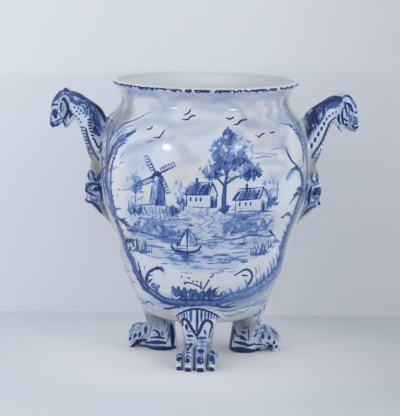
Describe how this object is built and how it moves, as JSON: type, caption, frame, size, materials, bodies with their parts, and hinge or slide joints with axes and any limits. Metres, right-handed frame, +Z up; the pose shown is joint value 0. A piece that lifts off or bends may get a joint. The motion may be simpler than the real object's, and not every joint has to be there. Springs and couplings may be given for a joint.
{
  "type": "three-footed vase",
  "caption": "Round faience vase with a flared mouth, griffin-head handles above masks, and lion-paw feet.",
  "frame": {"origin": "on the floor, on the vase's axis, below the middle of the bowl", "axes": "+Z up; +X towards the right griffin, along the two handles; -Y towards the viewer and the front foot"},
  "size_m": [0.41, 0.276, 0.37],
  "materials": {
    "bowl_glaze": "glossy white tin glaze with painted cobalt blue foliage",
    "neck_glaze": "glossy white tin glaze with a painted cobalt blue border",
    "griffin_glaze": "glossy white tin glaze with dense cobalt blue painting",
    "mask_glaze": "glossy white tin glaze with cobalt blue painting",
    "foot_glaze": "glossy white tin glaze with cobalt blue stripes and dots"
  },
  "bodies": {
    "root": {"bowl": "bowl_glaze", "neck_and_rim": "neck_glaze", "griffin_left": "griffin_glaze", "griffin_right": "griffin_glaze", "mask_left": "mask_glaze", "mask_right": "mask_glaze", "foot_front": "foot_glaze", "foot_rear_left": "foot_glaze", "foot_rear_right": "foot_glaze"}
  },
  "joints": []
}
